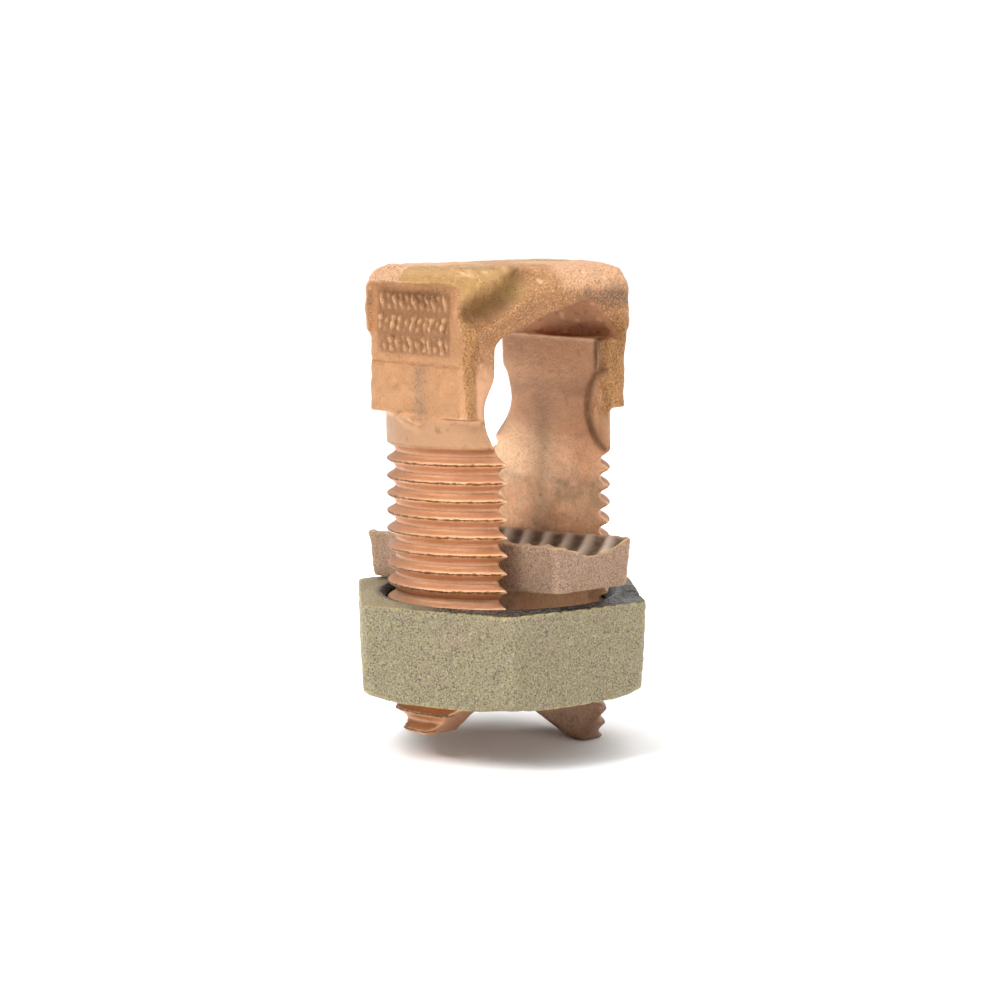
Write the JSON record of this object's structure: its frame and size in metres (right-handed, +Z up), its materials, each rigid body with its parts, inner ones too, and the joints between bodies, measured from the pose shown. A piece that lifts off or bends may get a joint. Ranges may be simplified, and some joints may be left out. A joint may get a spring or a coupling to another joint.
{
  "type": "ground clamp",
  "caption": "Copper split-bolt grounding connector: a slotted bolt with a rounded crown, a loose pressure bar in its slot and a hexagon nut that squeezes the wires.",
  "frame": {"origin": "on the bolt's axis, level with the end of the longer leg, which is the centre of the base of the assembly's box", "axes": "+Z up the bolt's axis to the crown, +X along the slot that holds the wires, +Y towards the longer leg"},
  "size_m": [0.0358, 0.038, 0.0584],
  "materials": {
    "forged_copper": "forged copper, brushed by dies, worn",
    "cast_bronze_bar": "as-cast bronze, granular",
    "cast_bronze_nut": "as-cast bronze, granular"
  },
  "bodies": {
    "split_bolt": {"split_bolt": "forged_copper"},
    "pressure_bar": {"pressure_bar": "cast_bronze_bar"},
    "nut": {"nut": "cast_bronze_nut"}
  },
  "joints": [
    {"name": "bar_travel", "type": "slide", "parent": "split_bolt", "child": "pressure_bar", "axis": [0, 0, 1], "range_m": [-0.0194, 0.0174]},
    {"name": "nut_turn", "type": "hinge", "parent": "pressure_bar", "child": "nut", "pos_m": [0, 0, 0.01325], "axis": [0, 0, 1], "range_deg": [-3299, 2958.8]}
  ],
  "couplings": [
    {"joint": "bar_travel", "follows": "nut_turn", "m_per_rad": 0.00033688}
  ]
}
